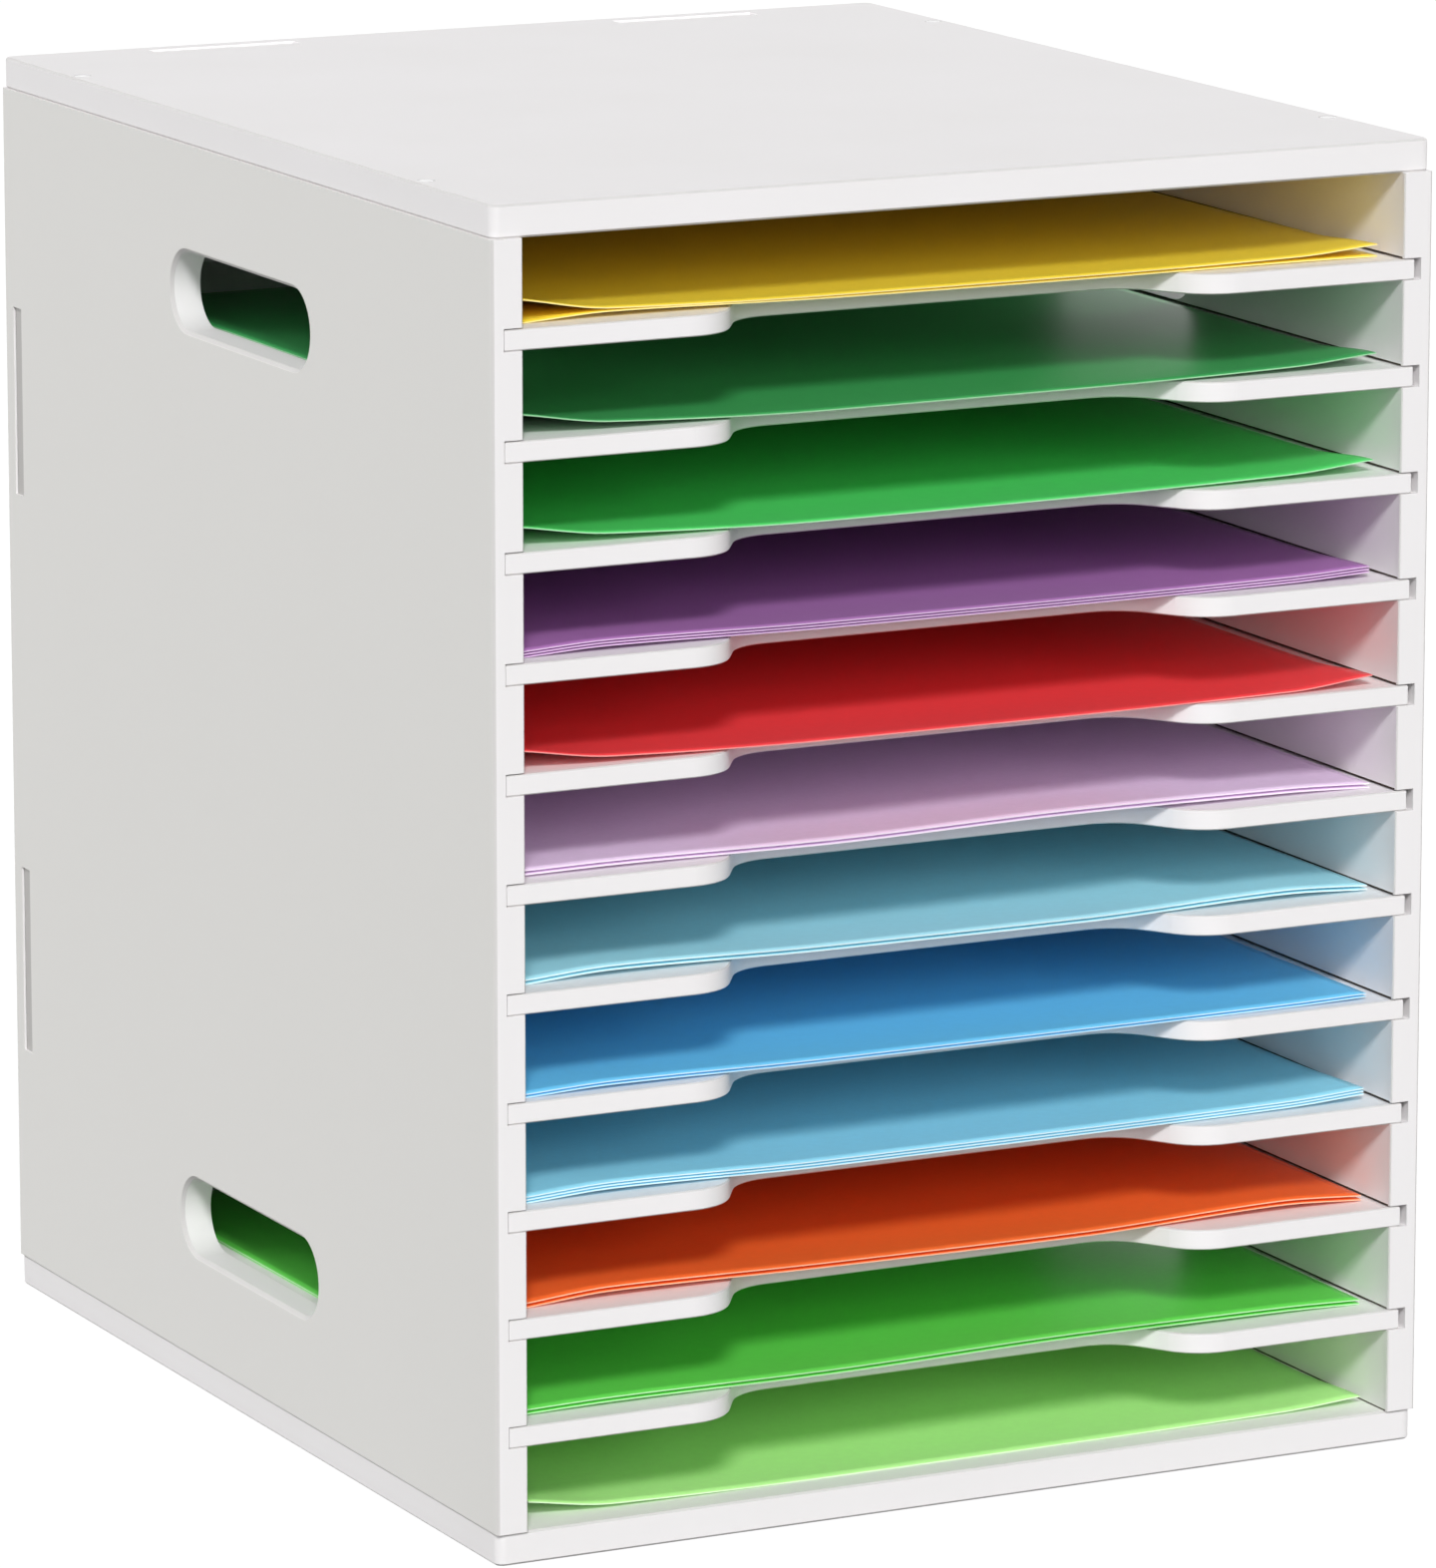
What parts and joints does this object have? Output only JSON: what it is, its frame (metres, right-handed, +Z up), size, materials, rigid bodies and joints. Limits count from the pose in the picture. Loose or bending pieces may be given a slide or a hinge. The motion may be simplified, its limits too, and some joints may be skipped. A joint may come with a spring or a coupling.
{
  "type": "paper organizer",
  "caption": "Upright open-fronted case of tenoned boards with hand holes, thin shelves sliding in grooves, each with a wide finger cut-out, and coloured craft paper on them.",
  "frame": {"origin": "centre of the underside of the bottom board", "axes": "+Z up, the open front faces -Y, +X to the right as seen from the front"},
  "size_m": [0.335, 0.394, 0.4335],
  "materials": {
    "case_board": "white satin lacquer",
    "shelf_board": "white satin lacquer",
    "screw": "white gloss paint",
    "paper_01": "mustard yellow, matt",
    "paper_02": "dark green, matt",
    "paper_03": "green, matt",
    "paper_04": "purple, matt",
    "paper_05": "red, matt",
    "paper_06": "lilac, matt",
    "paper_07": "pale teal, matt",
    "paper_08": "blue, matt",
    "paper_09": "sky blue, matt",
    "paper_10": "orange, matt",
    "paper_11": "leaf green, matt",
    "paper_12": "light green, matt"
  },
  "bodies": {
    "case": {"top_panel": "case_board", "bottom_panel": "case_board", "side_panel_left": "case_board", "side_panel_right": "case_board", "back_panel": "case_board", "top_screws": "screw", "bottom_screws": "screw"},
    "shelf_01": {"shelf_01": "shelf_board"},
    "shelf_02": {"shelf_02": "shelf_board"},
    "shelf_03": {"shelf_03": "shelf_board"},
    "shelf_04": {"shelf_04": "shelf_board"},
    "shelf_05": {"shelf_05": "shelf_board"},
    "shelf_06": {"shelf_06": "shelf_board"},
    "shelf_07": {"shelf_07": "shelf_board"},
    "shelf_08": {"shelf_08": "shelf_board"},
    "shelf_09": {"shelf_09": "shelf_board"},
    "shelf_10": {"shelf_10": "shelf_board"},
    "shelf_11": {"shelf_11": "shelf_board"},
    "paper_01": {"paper_01": "paper_01"},
    "paper_02": {"paper_02": "paper_02"},
    "paper_03": {"paper_03": "paper_03"},
    "paper_04": {"paper_04": "paper_04"},
    "paper_05": {"paper_05": "paper_05"},
    "paper_06": {"paper_06": "paper_06"},
    "paper_07": {"paper_07": "paper_07"},
    "paper_08": {"paper_08": "paper_08"},
    "paper_09": {"paper_09": "paper_09"},
    "paper_10": {"paper_10": "paper_10"},
    "paper_11": {"paper_11": "paper_11"},
    "paper_12": {"paper_12": "paper_12"}
  },
  "joints": [
    {"name": "shelf_01_slide", "type": "slide", "parent": "case", "child": "shelf_01", "axis": [0, -1, 0], "range_m": [0, 0.4]},
    {"name": "shelf_02_slide", "type": "slide", "parent": "case", "child": "shelf_02", "axis": [0, -1, 0], "range_m": [0, 0.4]},
    {"name": "shelf_03_slide", "type": "slide", "parent": "case", "child": "shelf_03", "axis": [0, -1, 0], "range_m": [0, 0.4]},
    {"name": "shelf_04_slide", "type": "slide", "parent": "case", "child": "shelf_04", "axis": [0, -1, 0], "range_m": [0, 0.4]},
    {"name": "shelf_05_slide", "type": "slide", "parent": "case", "child": "shelf_05", "axis": [0, -1, 0], "range_m": [0, 0.4]},
    {"name": "shelf_06_slide", "type": "slide", "parent": "case", "child": "shelf_06", "axis": [0, -1, 0], "range_m": [0, 0.4]},
    {"name": "shelf_07_slide", "type": "slide", "parent": "case", "child": "shelf_07", "axis": [0, -1, 0], "range_m": [0, 0.4]},
    {"name": "shelf_08_slide", "type": "slide", "parent": "case", "child": "shelf_08", "axis": [0, -1, 0], "range_m": [0, 0.4]},
    {"name": "shelf_09_slide", "type": "slide", "parent": "case", "child": "shelf_09", "axis": [0, -1, 0], "range_m": [0, 0.4]},
    {"name": "shelf_10_slide", "type": "slide", "parent": "case", "child": "shelf_10", "axis": [0, -1, 0], "range_m": [0, 0.4]},
    {"name": "shelf_11_slide", "type": "slide", "parent": "case", "child": "shelf_11", "axis": [0, -1, 0], "range_m": [0, 0.4]},
    {"name": "paper_01_slide", "type": "slide", "parent": "shelf_01", "child": "paper_01", "axis": [0, -1, 0], "range_m": [0, 0.33]},
    {"name": "paper_02_slide", "type": "slide", "parent": "shelf_02", "child": "paper_02", "axis": [0, -1, 0], "range_m": [0, 0.33]},
    {"name": "paper_03_slide", "type": "slide", "parent": "shelf_03", "child": "paper_03", "axis": [0, -1, 0], "range_m": [0, 0.33]},
    {"name": "paper_04_slide", "type": "slide", "parent": "shelf_04", "child": "paper_04", "axis": [0, -1, 0], "range_m": [0, 0.33]},
    {"name": "paper_05_slide", "type": "slide", "parent": "shelf_05", "child": "paper_05", "axis": [0, -1, 0], "range_m": [0, 0.33]},
    {"name": "paper_06_slide", "type": "slide", "parent": "shelf_06", "child": "paper_06", "axis": [0, -1, 0], "range_m": [0, 0.33]},
    {"name": "paper_07_slide", "type": "slide", "parent": "shelf_07", "child": "paper_07", "axis": [0, -1, 0], "range_m": [0, 0.33]},
    {"name": "paper_08_slide", "type": "slide", "parent": "shelf_08", "child": "paper_08", "axis": [0, -1, 0], "range_m": [0, 0.33]},
    {"name": "paper_09_slide", "type": "slide", "parent": "shelf_09", "child": "paper_09", "axis": [0, -1, 0], "range_m": [0, 0.33]},
    {"name": "paper_10_slide", "type": "slide", "parent": "shelf_10", "child": "paper_10", "axis": [0, -1, 0], "range_m": [0, 0.33]},
    {"name": "paper_11_slide", "type": "slide", "parent": "shelf_11", "child": "paper_11", "axis": [0, -1, 0], "range_m": [0, 0.33]},
    {"name": "paper_12_slide", "type": "slide", "parent": "case", "child": "paper_12", "axis": [0, -1, 0], "range_m": [0, 0.33]}
  ]
}
